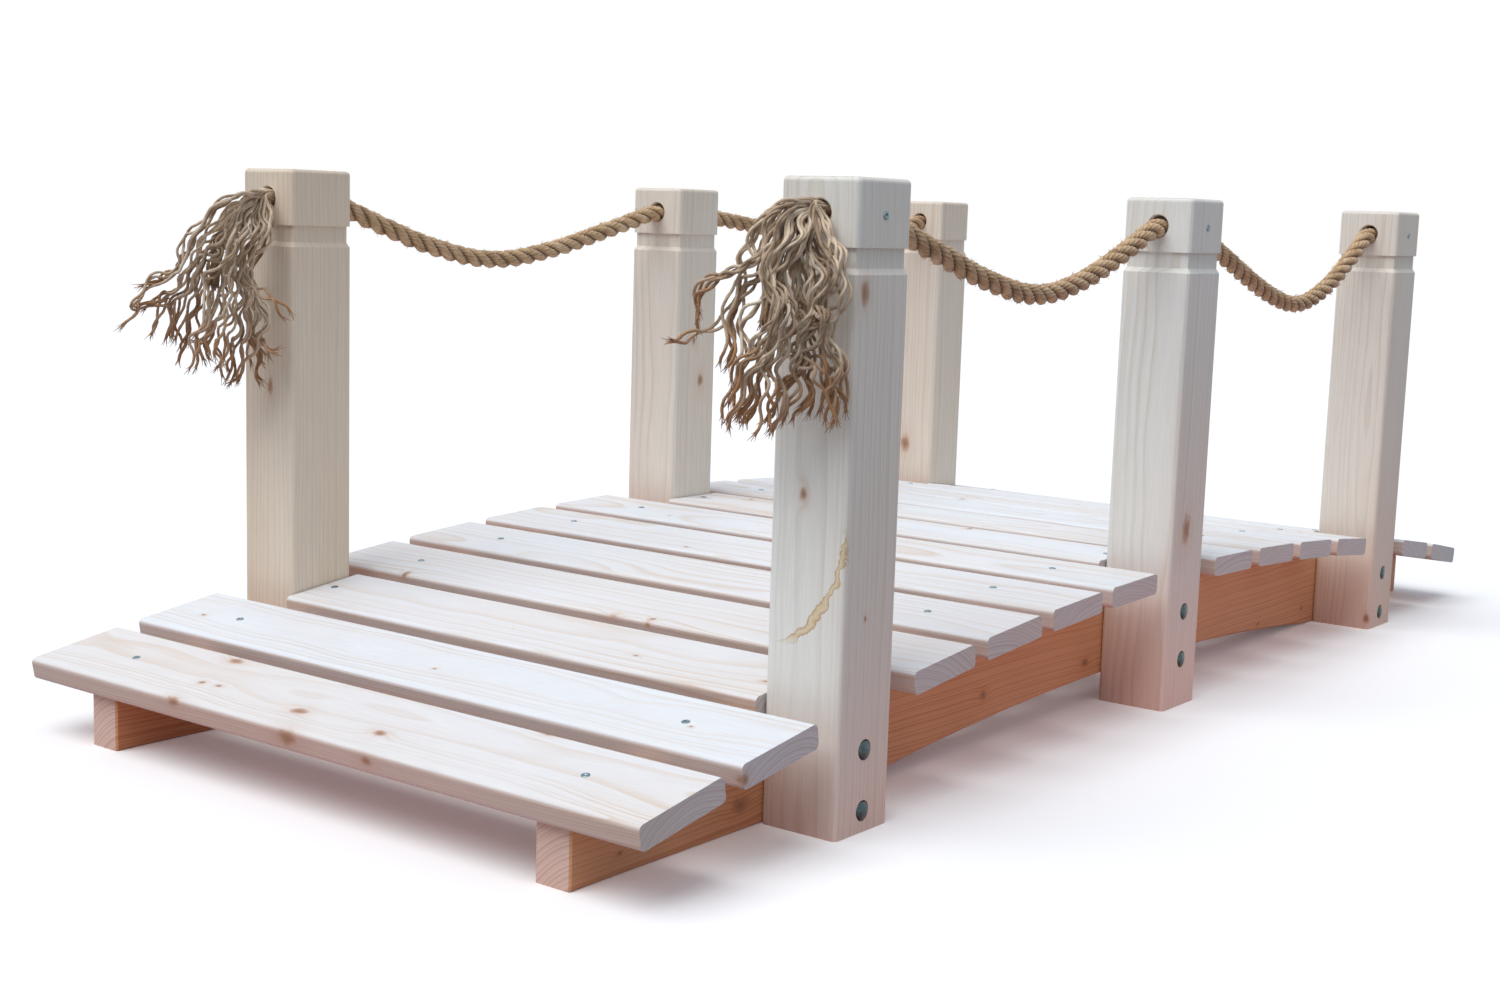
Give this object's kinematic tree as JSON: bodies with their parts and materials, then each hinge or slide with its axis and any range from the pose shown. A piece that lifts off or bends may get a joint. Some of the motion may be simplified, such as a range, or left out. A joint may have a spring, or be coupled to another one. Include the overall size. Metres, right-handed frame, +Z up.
{
  "type": "arched wooden garden bridge",
  "caption": "Low arched wooden garden bridge: cross boards on arched side beams, square grooved posts and slack rope handrails that end in frayed tassels.",
  "frame": {"origin": "on the ground, at the middle of the bridge's length and width", "axes": "+X along the bridge to the end away from the tassels, +Y to its left side, +Z up"},
  "size_m": [2.1812, 0.93, 0.661],
  "materials": {
    "deck_wood": "planed, raw",
    "post_wood": "planed, raw",
    "beam_wood": "planed, raw",
    "rope_fibre": "laid natural fibre"
  },
  "bodies": {
    "root": {"beam_left": "beam_wood", "beam_right": "beam_wood", "board_01": "deck_wood", "board_02": "deck_wood", "board_03": "deck_wood", "board_04": "deck_wood", "board_05": "deck_wood", "board_06": "deck_wood", "board_07": "deck_wood", "board_08": "deck_wood", "board_09": "deck_wood", "board_10": "deck_wood", "board_11": "deck_wood", "board_12": "deck_wood", "board_13": "deck_wood", "board_14": "deck_wood", "board_15": "deck_wood", "post_left_far": "post_wood", "post_left_middle": "post_wood", "post_left_near": "post_wood", "post_right_far": "post_wood", "post_right_middle": "post_wood", "post_right_near": "post_wood", "rope_left": "rope_fibre", "rope_right": "rope_fibre", "tassel_left": "rope_fibre", "tassel_right": "rope_fibre"}
  },
  "joints": []
}
